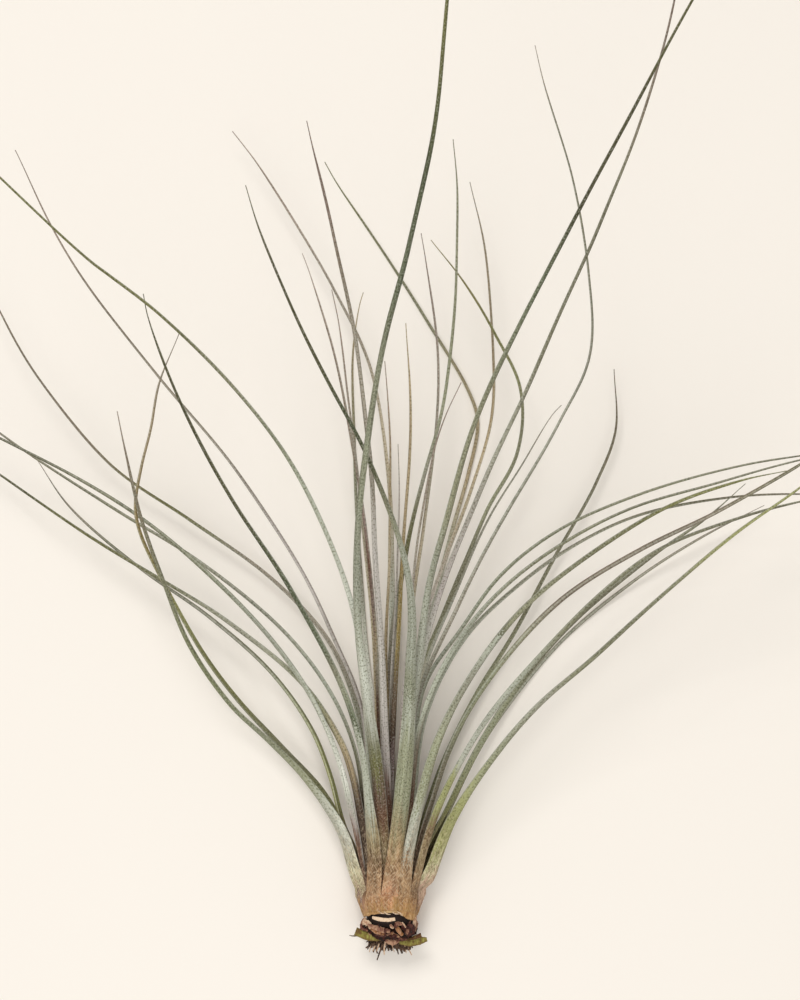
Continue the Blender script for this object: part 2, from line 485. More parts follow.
def turned(vector, start, end):
    """vector, turned by the shortest turn from direction start to direction end."""
    axis = np.cross(start, end)
    cosine = float(np.dot(start, end))
    return vector + np.cross(axis, vector) + np.cross(axis, np.cross(axis, vector)) / (1 + cosine)


def section(width, gone, radius):
    """A leaf's section, flat: how far each point lies across it, and how far outward."""
    closing = smoothstep(gone, *CLOSING)
    wall = min(lerp(BASE_WALL, ROD_WALL * width, closing), MOST_WALL * width)
    half = min(width / 2, MOST_HALF * radius)
    seated = (radius - math.sqrt(radius * radius - half * half)) / width
    free = smoothstep(gone, 0, FREE_LENGTH)
    curl = lerp(seated, lerp(*CURL, closing), free)
    return 0.5 * width * ACROSS, wall / 2 + curl * width * (0.5 * free - ACROSS * ACROSS) - wall * INWARD


# The base of a leaf runs on behind the crown, over the collar and into it
BURIED_LENGTH = 10.4
BURIED_ROWS = 14
BURIED_SINK = 0.09  # how much nearer the axis its end lies, as a share
# How far back, and the most radius that a base may have there.
BURIED_LIMITS = [(0, 15.6), (2.6, 13.7), (6.6, 12), (9, 11.2), (10.4, 10.6)]
MOST_LAP = 0.3
LEAST_HEIGHT = 0.02
CLASP = 0.45  # how much further round the rootstock the base reaches behind the crown
CLASP_LENGTH = 7
TILT = {"above": 0.34, "below": 0.1}  # higher parts of the collar lie further forward
TILT_RAMP = {"front": 5, "end": 3}


def tilt(back, z):
    """How far forward the collar's slant moves a point, by its distance behind the front and its height."""
    share = np.clip(np.minimum(back / TILT_RAMP["front"], (STEM_LENGTH - back) / TILT_RAMP["end"]), 0, 1)
    return share * z * np.where(z > 0, TILT["above"], TILT["below"])


def buried_row(first, back, lap):
    """A leaf's first section, moved back and drawn in to the collar. lap is how far it lies over others."""
    axis = np.array([0, ROOT_Y - back, NECK_HEIGHT])
    row = axis + (first - [0, back, 0] - axis) * (1 - BURIED_SINK * (back / BURIED_LENGTH) ** 2)
    most = np.interp(back, *zip(*BURIED_LIMITS)) - 0.5 * INWARD + lap
    row = axis + (row - axis) * np.minimum(1, most / np.linalg.norm(row - axis, axis=1))[:, None]
    middle = row[OUTER_POINTS // 2]
    turn = np.arctan2(row[:, 2] - NECK_HEIGHT, row[:, 0])
    off = (turn - np.arctan2(middle[2] - NECK_HEIGHT, middle[0]) + math.pi) % (2 * math.pi) - math.pi
    turn = turn + CLASP * smoothstep(back, 0, CLASP_LENGTH) * off
    reach = np.hypot(row[:, 0], row[:, 2] - NECK_HEIGHT)
    row = np.stack([reach * np.cos(turn), row[:, 1], NECK_HEIGHT + reach * np.sin(turn)], -1)
    row[:, 1] += tilt(back - CAD_GAP, row[:, 2] - NECK_HEIGHT)
    return row


def leaf_rows(leaf, rng):
    """The sections of a leaf as rows of points, with each point's place across, along and to the edge."""
    points, distance, share = centre_line(leaf, rng)
    ring, degrees = leaf["seat"]
    facing = math.radians(leaf.get("face", degrees))
    roll = math.radians(leaf["roll"])
    tangent, crown = FORWARD, np.array([math.cos(facing), 0, math.sin(facing)])
    twist = rng.uniform(-MOST_TWIST, MOST_TWIST)
    ripple = rng.uniform(0, PHASE)
    lap = rng.uniform(0, MOST_LAP) + leaf["flare"] - ROOT_FLARE
    rows = []
    widths = []
    for i, at in enumerate(points):
        gone = distance[i]
        if i:
            ahead = unit(lerp(FORWARD, heading(points, i), smoothstep(gone, 0, TURN_LENGTH)))
            crown = unit(turned(crown, tangent, ahead))
            tangent = ahead
        width = leaf_width(leaf, gone, share[i], distance[-1], ripple)
        u, v = section(width, gone, RING_RADIUS[ring])
        angle = twist * smoothstep(gone, *TWIST_PART) + roll * smoothstep(gone, 0, ROLL_LENGTH)
        u, v = u * math.cos(angle) - v * math.sin(angle), u * math.sin(angle) + v * math.cos(angle)
        rows.append(at + u[:, None] * np.cross(crown, tangent) + v[:, None] * crown)
        widths.append(width)
    backs = np.linspace(BURIED_LENGTH, BURIED_LENGTH / BURIED_ROWS, BURIED_ROWS)
    rows = np.array([buried_row(rows[0], back, lap) for back in backs] + rows)
    rows[..., 2] = np.maximum(rows[..., 2], LEAST_HEIGHT)
    across = 0.5 * np.array([widths[0]] * BURIED_ROWS + widths)[:, None] * ACROSS
    return rows, across, np.concatenate([-backs, distance])[:, None], np.abs(ACROSS)[None, :]


# Materials
SPECULAR = 0.25


class Nodes:
    """Short forms for wiring a material."""

    def __init__(self, name):
        self.material = bpy.data.materials.new(name)
        self.material.use_nodes = True
        self.tree = self.material.node_tree
        self.shader = self.tree.nodes["Principled BSDF"]

    def add(self, kind, inputs=None, **settings):
        node = self.tree.nodes.new(kind)
        for key, value in settings.items():
            setattr(node, key, value)
        for key, value in (inputs or {}).items():
            self.put(value, node.inputs[key])
        return node

    def put(self, value, socket):
        if isinstance(value, bpy.types.NodeSocket):
            self.tree.links.new(value, socket)
        else:
            socket.default_value = value

    def math(self, operation, a, b=0.0):
        return self.add("ShaderNodeMath", {0: a, 1: b}, operation=operation).outputs[0]

    def add_up(self, a, b):
        return self.math("ADD", a, b)

    def times(self, a, b):
        return self.math("MULTIPLY", a, b)

    def remap(self, value, low, high, to_low, to_high):
        inputs = {"Value": value, "From Min": low, "From Max": high, "To Min": to_low, "To Max": to_high}
        return self.add("ShaderNodeMapRange", inputs).outputs["Result"]

    def noise(self, vector, scale, detail, distortion=0.0):
        inputs = {"Vector": vector, "Scale": scale, "Detail": detail, "Distortion": distortion}
        return self.add("ShaderNodeTexNoise", inputs).outputs["Fac"]

    def mix(self, amount, a, b, blend="MIX"):
        node = self.add("ShaderNodeMix", data_type="RGBA", blend_type=blend)
        self.put(amount, node.inputs[0])
        self.put(a, node.inputs[6])
        self.put(b, node.inputs[7])
        return node.outputs[2]

    def shaded(self, color, shade):
        return self.mix(1.0, color, shade, "MULTIPLY")

    def place(self, kind):
        """Where a point lies: "UV" is across and along its strip, "Object" is in the object's metres."""
        if kind == "UV":
            return self.add("ShaderNodeUVMap", uv_map="UVMap").outputs[0]
        return self.add("ShaderNodeTexCoord").outputs["Object"]

    def parts(self, vector):
        return self.add("ShaderNodeSeparateXYZ", {"Vector": vector}).outputs

    def edge(self):
        return self.add("ShaderNodeAttribute", attribute_name="edge").outputs["Fac"]

    def scaled(self, vector, size, z=0.0):
        inputs = {"Vector": vector, "Scale": (*size, 1), "Location": (0, 0, z)}
        return self.add("ShaderNodeMapping", inputs).outputs[0]

    def slanted(self, vector, angle, size):
        inputs = {"Vector": vector, "Rotation": (0, 0, angle), "Scale": (1 / size[0], 1 / size[1], 1)}
        return self.add("ShaderNodeMapping", inputs, vector_type="TEXTURE").outputs[0]

    def ramp(self, value, stops):
        node = self.add("ShaderNodeValToRGB", {"Fac": value})
        elements = node.color_ramp.elements
        elements[0].position, elements[0].color = stops[0]
        elements[1].position, elements[1].color = stops[-1]
        for position, color in stops[1:-1]:
            elements.new(position).color = color
        return node.outputs["Color"]

    def finish(self, color, roughness, bump=None, depth=0.0):
        self.put(color, self.shader.inputs["Base Color"])
        self.put(roughness, self.shader.inputs["Roughness"])
        self.put(SPECULAR, self.shader.inputs["Specular IOR Level"])
        if bump is not None:
            normal = self.add("ShaderNodeBump", {"Height": bump, "Distance": depth, "Strength": 1.0})
            self.put(normal.outputs[0], self.shader.inputs["Normal"])
        return self.material


RAMP_LENGTH = 430  # the longest leaf's colours fit within this distance
FADE_TONES = [(-10.2, "collar_gold"), (-8.6, "collar")]  # behind its base a leaf fades into the collar
SHEATH_END = 30  # the fibrous brown base of a leaf fades out here
LEAF_ROUGHNESS = 0.72
LEAF_DEPTH = 0.00022  # of the relief, in metres
VEIN_HEIGHT = 1.2
GRAIN_HEIGHT = 0.6
NOISE_STEP = 10.0  # how far each leaf's grain lies from that of the leaf before it
# The grain of a leaf: cells a millimetre across and along it, where each starts, and its detail.
LEAF_GRAIN = {
    "drift": ((0.5, 0.05), 0.0, 3.0),
    "veins": ((2.4, 0.035), 3.0, 2.0),
    "specks": ((2.0, 1.3), 9.0, 3.0),
    "bands": ((0.55, 0.02), 7.0, 2.0),
    "patches": ((0.5, 0.16), 1.0, 2.0),
}
FIBRE_GRID = (1.9, 0.42)
FIBRE_SLANT = 0.5  # how far the crossing fibres of the base lean, in radians
LEAF_SHADES = {
    "veins": [(0.3, (0.80, 0.80, 0.78, 1)), (0.7, (1.16, 1.15, 1.16, 1))],
    "bands": [(0.32, (0.82, 0.80, 0.77, 1)), (0.68, (1.14, 1.14, 1.13, 1))],
    "patches": [(0.38, (0.74, 0.70, 0.66, 1)), (0.62, (1.16, 1.15, 1.13, 1))],
}
SPECK_SHADE = (0.46, 0.47, 0.4, 1)
FIBRE_SHADE = (0.42, 0.35, 0.29, 1)
# Where an effect starts and is full, by a noise or by the distance from the base, and its strength there.
WANDER = (0.3, 0.7, -5.0, 5.0)
BLADE = (SHEATH_END - 14.0, SHEATH_END + 4.0, 0.25, 1.0)
SPECKS = (0.54, 0.605, 0.0, 0.92)
DUST = (0.46, 0.36, 0.0, 0.32)
SHEATH = (SHEATH_END + 6.0, SHEATH_END - 14.0, 0.0, 1.0)
SHEATH_START = (-11.0, -2.0, 0.3, 1.0)
DARK_FIBRES = (0.55, 0.64, 0.0, 0.72)
PALE_FIBRES = (0.44, 0.34, 0.0, 0.5)
RIM = (0.88, 1.0, 0.0, 0.35)
RIM_START = (4.0, SHEATH_END, 0.0, 1.0)


def leaf_material(name, tones, seed):
    """A scaly leaf: a fibrous base, lengthwise veins, a dusting of pale scales and darker specks."""
    n = Nodes(name)
    place = n.place("UV")
    moved = n.parts(place)[1]
    grain = {}
    for kind, (grid, start, detail) in LEAF_GRAIN.items():
        grain[kind] = n.noise(n.scaled(place, grid, seed + start), scale=1.0, detail=detail)
    for kind in ("drift", "veins", "specks"):
        moved = n.add_up(moved, n.remap(grain[kind], *WANDER))
    share = n.math("DIVIDE", n.add_up(moved, BURIED_LENGTH), float(RAMP_LENGTH))
    stops = FADE_TONES + tone_stops(tones)
    color = n.ramp(share, [((at + BURIED_LENGTH) / RAMP_LENGTH, paint(tone)) for at, tone in stops])
    for kind in ("veins", "bands"):
        color = n.shaded(color, n.ramp(grain[kind], LEAF_SHADES[kind]))
    blade = n.remap(moved, *BLADE)
    specks = n.times(blade, n.remap(grain["specks"], *SPECKS))
    color = n.mix(specks, color, n.shaded(color, SPECK_SHADE))
    dust = n.times(blade, n.remap(grain["specks"], *DUST))
    color = n.mix(dust, color, paint("pearl"))
    sheath = n.times(n.remap(moved, *SHEATH), n.remap(moved, *SHEATH_START))
    color = n.mix(sheath, color, n.shaded(color, n.ramp(grain["patches"], LEAF_SHADES["patches"])))
    fibres = []
    for side in (-1, 1):
        slanted = n.slanted(place, side * FIBRE_SLANT, FIBRE_GRID)
        fibres.append(n.noise(slanted, scale=1.0, detail=2.0, distortion=0.3))
    dark_fibres = n.times(sheath, n.remap(n.math("MAXIMUM", *fibres), *DARK_FIBRES))
    color = n.mix(dark_fibres, color, n.shaded(color, FIBRE_SHADE))
    pale_fibres = n.times(sheath, n.remap(n.math("MINIMUM", *fibres), *PALE_FIBRES))
    color = n.mix(pale_fibres, color, paint("sheath_pale", 1.15))
    rim = n.times(n.remap(n.edge(), *RIM), n.remap(moved, *RIM_START))
    color = n.mix(rim, color, paint("pearl"))
    height = n.add_up(n.times(grain["veins"], VEIN_HEIGHT), n.times(grain["specks"], GRAIN_HEIGHT))
    return n.finish(color, LEAF_ROUGHNESS, height, LEAF_DEPTH)


SEED = 5
for number, (name, own) in enumerate(LEAVES.items()):
    leaf = {**USUAL, **own}
    skin = Skin()
    skin.strip(*leaf_rows(leaf, np.random.default_rng(SEED + number)))
    material = leaf_material(f"skin_{name}", leaf["tones"], NOISE_STEP * number)
    piece = skin.build(f"fine_{name}", material)
    slot = leaf["slot"]
    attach(piece, "root")
    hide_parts(f"leaf_{name}")


# The rootstock: a fibrous collar with a torn rim, and a woody core behind it
TURN_POINTS = 220
COLLAR_ROWS = 120
COLLAR_PROFILE = [
    (0.3, -2.6), (4, -2.2), (7.5, -1.4), (9.6, -0.7), (10.5, 0), (10.9, 1), (11.15, 2.2), (11.25, 3.4),
    (11.2, 5), (11.05, 6.5), (10.9, 8), (10.75, 9.3), (10.55, 10.4), (10.3, 10.9), (10, 10.9), (9.7, 10.3),
    (9.4, 9.6), (9.2, 9.9), (9.1, 11), (9, 12.8), (7.6, 13.5), (6, 13.8), (0.3, 14),
]  # radius, and how far behind the front
RIM_PLACE = 10.8  # the profile is torn most here
RIM_WIDTH = 0.9
RIM_DROOP = 1.3  # how much further back the rim reaches on the right
UNDERSIDE = 1.1  # how much further down than up the collar reaches
UNDERSIDE_FROM = 9  # beyond this radius
TEARS = ((2, 3, 5, 9, 14, 23), 0.3)  # waves round the rootstock, and their size
RIBS = ((11, 17, 26, 41, 58), 0.16)
TEAR_DEPTHS = {"radius": 0.25, "back": 0.8}
RIB_BACK = 0.6
OUTSIDE = (9.6, 11.2)  # both begin to show at the first radius and are full at the second
RIB_FADE = (9, 4)  # how far back the ribs begin, and where they are full
RIGHT_SIDE = (0.2, 0.8)  # the rim begins to droop and droops fully at these shares of the way to the right


def wavy(angle, rng, waves, size):
    """A smooth uneven edge round the rootstock: a few waves of random size and phase."""
    total = np.zeros_like(angle)
    for wave in waves:
        total += np.sin(wave * angle + rng.uniform(0, 6.3)) * rng.uniform(0.4, 1) / math.sqrt(wave)
    return size * total


def collar_rows(rng):
    """Rings of points round the collar from its front to its back, with their radius and distance back."""
    radius, back = (np.array(side, float) for side in zip(*COLLAR_PROFILE))
    steps = np.concatenate([[0], np.cumsum(np.hypot(np.diff(radius), np.diff(back)))])
    at = np.linspace(0, steps[-1], COLLAR_ROWS)
    radius = np.interp(at, steps, radius)[:, None]
    back = np.interp(at, steps, back)[:, None]
    angle = np.linspace(0, 2 * math.pi, TURN_POINTS, endpoint=False)
    torn = wavy(angle, rng, *TEARS)
    rim = np.exp(-(((back - RIM_PLACE) / RIM_WIDTH) ** 2))
    ribs = wavy(angle, rng, *RIBS)
    outside = smoothstep(radius, *OUTSIDE)
    radius = radius + ribs * outside * smoothstep(back, *RIB_FADE) + TEAR_DEPTHS["radius"] * torn * outside
    droop = RIM_DROOP * rim * smoothstep(np.cos(angle), *RIGHT_SIDE)
    back = back + ribs * RIB_BACK * rim - TEAR_DEPTHS["back"] * torn * rim + droop
    x = radius * np.cos(angle)
    z = radius * np.sin(angle)
    z = np.where((z < 0) & (radius > UNDERSIDE_FROM), z * UNDERSIDE, z)
    y = STEM_FRONT - back + tilt(back, z)
    return np.stack([x, np.broadcast_to(y, x.shape), np.maximum(NECK_HEIGHT + z, 0)], -1), radius, back


RIBBON_POINTS = 7
RIBBON_ROWS = 22


def ribbon(skin, path, widths, up, cup, rng, wall=0.24, rag=0.06):
    """Adds a cupped strip with uneven edges along a path as seen. up is how its start and end face."""
    x, y, z = np.array(path, float).T
    line = smooth_curve(under_eye(x, y, z), RIBBON_ROWS - 1)
    part = np.linspace(0, 1, RIBBON_ROWS)
    width = np.interp(part, np.linspace(0, 1, len(widths)), widths)
    q = np.linspace(-1, 1, RIBBON_POINTS)
    sections = []
    for i, at in enumerate(line):
        ahead = heading(line, i)
        face = lerp(np.array(up[0], float), np.array(up[1], float), i / (RIBBON_ROWS - 1))
        side = unit(np.cross(ahead, face))
        face = np.cross(side, ahead)
        uneven = 1 + rag * rng.uniform(-1, 1, RIBBON_POINTS)
        flat = at + (0.5 * width[i] * q * uneven)[:, None] * side
        bent = -cup * width[i] * q * q + rag * rng.uniform(-0.8, 0.8, RIBBON_POINTS)
        top = flat + (bent + wall / 2)[:, None] * face
        bottom = flat + (bent - wall / 2)[:, None] * face
        sections.append(np.concatenate([top, bottom[::-1]]))
    travelled = np.linspace(0, np.linalg.norm(line[-1] - line[0]), RIBBON_ROWS)
    place = np.concatenate([q, q[::-1]])
    skin.strip(sections, 0.5 * width[:, None] * place, travelled[:, None], np.abs(place)[None, :])


TWIG_ROWS = 7
TWIG_TAPER = 0.6


def twig(skin, path, thick, sides):
    """Adds a round root along a path, thinner towards its end."""
    line = smooth_curve(path, TWIG_ROWS - 1)
    turn = np.linspace(0, 2 * math.pi, sides, endpoint=False)
    sections = []
    for i, at in enumerate(line):
        ahead = heading(line, i)
        side = unit(np.cross(ahead, (0.1, 0.2, 1)))
        over = np.cross(side, ahead)
        radius = lerp(thick, TWIG_TAPER * thick, i / (TWIG_ROWS - 1))
        sections.append(at + radius * (np.cos(turn)[:, None] * side + np.sin(turn)[:, None] * over))
    skin.strip(sections, turn[None, :], np.linspace(0, 5, TWIG_ROWS)[:, None])


LUMP_TURNS = 60
LUMP_ROWS = 34
LUMP_WAVES = ((3, 7, 12, 19), 0.12)
LUMP_RIPPLES = ((5, 11, 17), 0.1)


def lump(skin, place, size, rng):
    """Adds a rough rounded lump."""
    rise = np.linspace(-math.pi / 2, math.pi / 2, LUMP_ROWS)[:, None]
    turn = np.linspace(0, 2 * math.pi, LUMP_TURNS, endpoint=False)[None, :]
    rough = 1 + wavy(turn + 3 * rise, rng, *LUMP_WAVES) + wavy(turn - 5 * rise, rng, *LUMP_RIPPLES)
    shell = [np.cos(rise) * np.cos(turn), np.cos(rise) * np.sin(turn), np.sin(rise) + 0 * turn]
    skin.strip(np.array(place) + np.stack(shell, -1) * rough[..., None] * size, 0.0, 0.0)


STREAK_GRID = (1900.0, 420.0, 1900.0)  # cells a metre
BLOTCH_GRID = 420.0
TONE_SPAN = (0.39, 0.61)
EDGE = (0.55, 1.0, 0.0, 0.85)
EDGE_PATCHES = (0.42, 0.52, 0.35, 1.0)


def fibrous_material(name, tones, edge_tone=None, stain=None, rough=0.75, depth=0.0003):
    """Dry plant matter, streaked lengthwise between the tones, dark to pale, with a tone at its edges."""
    n = Nodes(name)
    place = n.place("Object")
    stretched = n.add("ShaderNodeMapping", {"Vector": place, "Scale": STREAK_GRID}).outputs[0]
    streaks = n.noise(stretched, scale=1.0, detail=4.0, distortion=0.4)
    blotches = n.noise(place, BLOTCH_GRID, detail=3.0, distortion=0.3)
    mixed = n.add_up(n.times(streaks, 0.5), n.times(blotches, 0.5))
    places = [lerp(*TONE_SPAN, i / (len(tones) - 1)) for i in range(len(tones))]
    color = n.ramp(mixed, [(at, paint(tone)) for at, tone in zip(places, tones)])
    if edge_tone:
        rim = n.times(n.remap(n.edge(), *EDGE), n.remap(blotches, *EDGE_PATCHES))
        color = n.mix(rim, color, paint(edge_tone))
    if stain:
        color = stain(n, color)
    return n.finish(color, rough, streaks, depth)


# The stains on the collar, first by the distance from its middle in metres, then by how far back they are.
RIM_MIDDLE = -0.0006
PALE_MIDDLE = [(0.0045, 0.0005, 0.0, 0.8), (6.0, 9.5, 0.0, 1.0)]
PINK_SIDES = [(0.007, 0.0105, 0.0, 0.6), (10.5, 7.5, 0.0, 1.0)]
BROWN_FRONT = (5.5, 1.5, 0.0, 0.85)
HOLLOW = [(10.15, 9.75, 0.0, 1.0), (6.0, 8.0, 0.0, 1.0)]  # by the radius, then by how far back


def collar_stain(n, color):
    """Brown where the collar shows among the leaf bases, pinker at its sides and paler in the middle
    of its rim, with a dark hollow behind the rim."""
    radius, back = n.parts(n.place("UV"))[:2]
    across = n.parts(n.place("Object"))[0]
    middle = n.math("ABSOLUTE", n.math("SUBTRACT", across, SHIFT[0] + RIM_MIDDLE))
    pale = n.times(n.remap(middle, *PALE_MIDDLE[0]), n.remap(back, *PALE_MIDDLE[1]))
    color = n.mix(pale, color, paint("collar_pale"))
    side = n.times(n.remap(middle, *PINK_SIDES[0]), n.remap(back, *PINK_SIDES[1]))
    color = n.mix(side, color, paint("pinkish"))
    color = n.mix(n.remap(back, *BROWN_FRONT), color, paint("bark"))
    hollow = n.times(n.remap(radius, *HOLLOW[0]), n.remap(back, *HOLLOW[1]))
    return n.mix(hollow, color, paint("char"))


STRIP_PATH = [(-7, -15, 20), (-4.6, -15.6, 21.2), (-1.2, -16, 21.8), (2.1, -15.6, 21.8)]
STRIP_WIDTHS = [1.1, 1.6, 1.5, 1.3]
STRIP_FACES = [(-0.7, -0.15, 0.7), (0.2, -0.15, 1)]
WISPS = [
    [(-4.6, -12.4, 22.8), (-3.4, -13.3, 23), (-1.8, -13.5, 23)],
    [(-2.4, -12.6, 23.4), (-1.2, -13.6, 23.2), (0.2, -13.8, 22.8)],
    [(0.8, -12.7, 23.4), (2, -13.5, 23.2), (3.6, -13.6, 22.8)],
    [(2.8, -12.6, 23), (4.2, -13.4, 22.6), (5, -14.4, 22)],
]  # frayed hairs on the rim
WISP_WIDTHS = [0.2, 0.5, 0.15]
WISP_FACES = [(-0.2, -0.5, 1), (0.2, -0.6, 1)]
COLLAR_TONES = ["collar_deep", "collar_gold", "collar", "collar_pale"]
COLLAR_SEED = 31
collar_rng = np.random.default_rng(COLLAR_SEED)
collar = Skin()
rows, radius, back = collar_rows(collar_rng)
collar.strip(rows[::-1], radius[::-1], back[::-1])
collar.keep_on_floor()
strip = Skin()
ribbon(strip, STRIP_PATH, STRIP_WIDTHS, STRIP_FACES, cup=0.04, rng=collar_rng, wall=0.5)
for wisp in WISPS:
    ribbon(strip, wisp, WISP_WIDTHS, WISP_FACES, cup=0.1, rng=collar_rng, wall=0.12, rag=0.15)
collar_skin = fibrous_material("collar", COLLAR_TONES, stain=collar_stain)
strip_skin = fibrous_material("cream", ["tan_pale", "cream", "cream"])
# Each piece with the node that it stands in for, and the slot.
pieces = [
    (collar.build("fine_stem", collar_skin), "stem", "stem"),
    (strip.build("fine_strip", strip_skin), "stem", "stem"),
]

# Each scrap: path as seen, widths, the way it faces at its start and end, how cupped it is, its material.
SCRAPS_LEFT = [
    ([(-10.3, -15, 15.4), (-9.9, -16.8, 17), (-9.4, -18.2, 18)], [1.2, 1.5, 1.2],
        [(-0.8, 0.2, 0.9), (-0.5, -0.3, 1)], 0.2, "papery_pale"),
    ([(-11.6, -17.2, 16), (-10.2, -17, 18.6), (-8.4, -17.8, 19.4), (-7.9, -19.6, 19)], [1.5, 2.2, 1.9, 0.9],
        [(-0.9, 0.1, 0.7), (0.1, -0.3, 1)], 0.3, "papery_pale"),
    ([(-11.9, -17.6, 16.4), (-11.4, -19.6, 16.8), (-8.8, -20.4, 17.4)], [1, 1.6, 0.9],
        [(-0.8, -0.4, 0.7), (-0.2, -0.6, 1)], 0.25, "papery_dark"),
    ([(-8.8, -17.8, 19.9), (-5.8, -18.9, 20.9), (-2.6, -19.9, 21.1), (0, -20.4, 20.8)], [1, 1.9, 2.2, 1.5],
        [(-0.3, 0.8, 1), (0, 0.6, 1)], 0.22, "papery"),
    ([(-7.6, -19.4, 19.4), (-5.4, -20.4, 19.8), (-2.2, -21.5, 19.4)], [0.9, 2, 1.4],
        [(-0.3, -0.2, 1), (0.1, -0.3, 1)], -0.25, "papery_warm"),
    ([(-5.8, -22, 17.6), (-3.4, -22.4, 18), (-0.4, -22.6, 17.8)], [0.7, 1.2, 0.8],
        [(-0.2, -0.6, 1), (0.1, -0.5, 1)], 0.2, "oxblood"),
    ([(-10.6, -15.4, 13), (-11.6, -17.4, 13.2), (-11.4, -20.2, 13.4)], [4, 4.4, 2.4],
        [(-1, 0, 0.1), (-0.9, -0.5, 0.1)], 0.04, "papery"),
    ([(-9.6, -15.2, 6), (-11, -17.6, 6.4), (-10.6, -20.4, 7)], [5, 5.4, 3.2],
        [(-1, 0, -0.3), (-0.8, -0.6, -0.1)], 0.1, "papery"),
    ([(0.1, -17.8, 21.8), (0.6, -18.6, 21.9), (1.4, -19.3, 21.5)], [0.7, 1.3, 0.8],
        [(-0.2, 0.3, 1), (0.2, 0, 1)], 0.2, "papery_pale"),
]
SCRAPS_RIGHT = [
    ([(1.9, -17.2, 21.9), (3.4, -17.4, 21.9), (5, -17.6, 21.4)], [0.9, 1.6, 1],
        [(-0.2, 0.6, 1), (0.2, 0.4, 1)], 0.2, "papery"),
    ([(2.2, -18.2, 21.4), (3.4, -20, 21.2), (5.2, -22, 19.8)], [1, 1.9, 1.4],
        [(-0.4, 0.4, 1), (0.3, 0.3, 1)], 0.3, "papery_warm"),
    ([(4.8, -16.9, 21.2), (5.7, -18, 21.2), (6.3, -19, 20.8)], [0.4, 0.6, 0.4],
        [(-0.2, 0.6, 1), (0.2, 0.4, 1)], 0.2, "papery_pale"),
    ([(4.6, -18.6, 20.2), (6.6, -20, 19.6), (7.6, -22.6, 17.8)], [1.8, 3, 1.9],
        [(0.1, 0.5, 1), (0.8, -0.3, 0.8)], -0.3, "oxblood"),
    ([(6.8, -17.8, 19.8), (8.6, -19.2, 18.4), (8.8, -21.6, 16.6)], [1.5, 2.6, 1.6],
        [(0.5, 0.3, 0.8), (1, -0.4, 0.6)], -0.28, "oxblood"),
    ([(8.2, -16.4, 18.4), (7.6, -17.4, 19.2), (6.9, -18.2, 19.6)], [0.5, 0.8, 0.4],
        [(0.5, 0.5, 0.9), (0.4, 0.2, 1)], 0.2, "papery_dark"),
    ([(10.5, -14.6, 15), (10.2, -16.4, 16.6), (9.9, -18.2, 16.6), (9.3, -20.4, 15.8)], [1.2, 1.9, 1.7, 0.7],
        [(0.9, 0.3, 0.7), (0.8, -0.1, 0.8)], 0.2, "papery_pale"),
    ([(0.6, -21, 19.8), (1.8, -21.9, 19.4), (3.8, -22.6, 18.6)], [0.9, 1.4, 0.8],
        [(0, 0.6, 1), (0.1, 0.4, 1)], 0.24, "papery_warm"),
    ([(-1.4, -22, 19), (0.2, -21.2, 19.6), (1.6, -21, 19.6)], [0.7, 1, 0.6],
        [(-0.1, 0.5, 1), (0, 0.6, 1)], 0.2, "papery"),
    ([(3.2, -22.6, 18.4), (4.6, -23.6, 17.6), (6.8, -23.8, 16.6)], [0.9, 1.6, 0.8],
        [(0.1, 0.4, 1), (0.3, 0.2, 1)], 0.2, "papery_dark"),
    ([(-1.8, -24.2, 16.6), (1, -24.9, 16.4), (3.6, -24.2, 16.4)], [1.4, 2.4, 1.3],
        [(0, 0.2, 1), (0.1, 0.3, 1)], 0.25, "papery"),
    ([(10.2, -15.6, 12.6), (10.8, -17.6, 12.6), (10.3, -20.4, 12.6)], [4, 4.2, 2.2],
        [(1, 0, 0.1), (0.9, -0.5, 0.1)], 0.04, "papery"),
    ([(9.4, -15.2, 5.6), (10.8, -17.6, 6), (10.2, -20.4, 7)], [5, 5, 2.8],
        [(1, 0, -0.3), (0.8, -0.6, -0.1)], 0.1, "papery"),
]
STUBS_LEFT = [
    ([(-1.2, -22.4, 14.6), (-4.6, -22.9, 15), (-8.6, -22.5, 15.3), (-13.8, -20.5, 15.6)],
        [1.9, 2.9, 3.3, 3.2], [(0, 0.25, 1), (0.1, 0.3, 1)], 0.1, "stub_olive"),
    ([(-13.2, -22.1, 14.8), (-14.8, -22.4, 14.9), (-16.3, -22.1, 15)], [1, 0.5, 0.25],
        [(0, 0, 1), (0, 0, 1)], 0.05, "twig_grey"),
]
STUBS_RIGHT = [
    ([(3.8, -25, 13.2), (7.6, -25.2, 13.6), (11.4, -24.4, 14), (14.8, -23.8, 14.6)], [1.5, 3, 3.6, 1.6],
        [(0, -0.1, 1), (0.1, -0.1, 1)], 0.14, "stub_olive"),
    ([(7, -23.8, 14.8), (9.8, -22.7, 15.4), (12.4, -21.7, 15.6)], [1, 1.9, 1.9],
        [(0, 0.8, 0.7), (0, 0.9, 0.7)], 0.2, "stub_dark"),
]
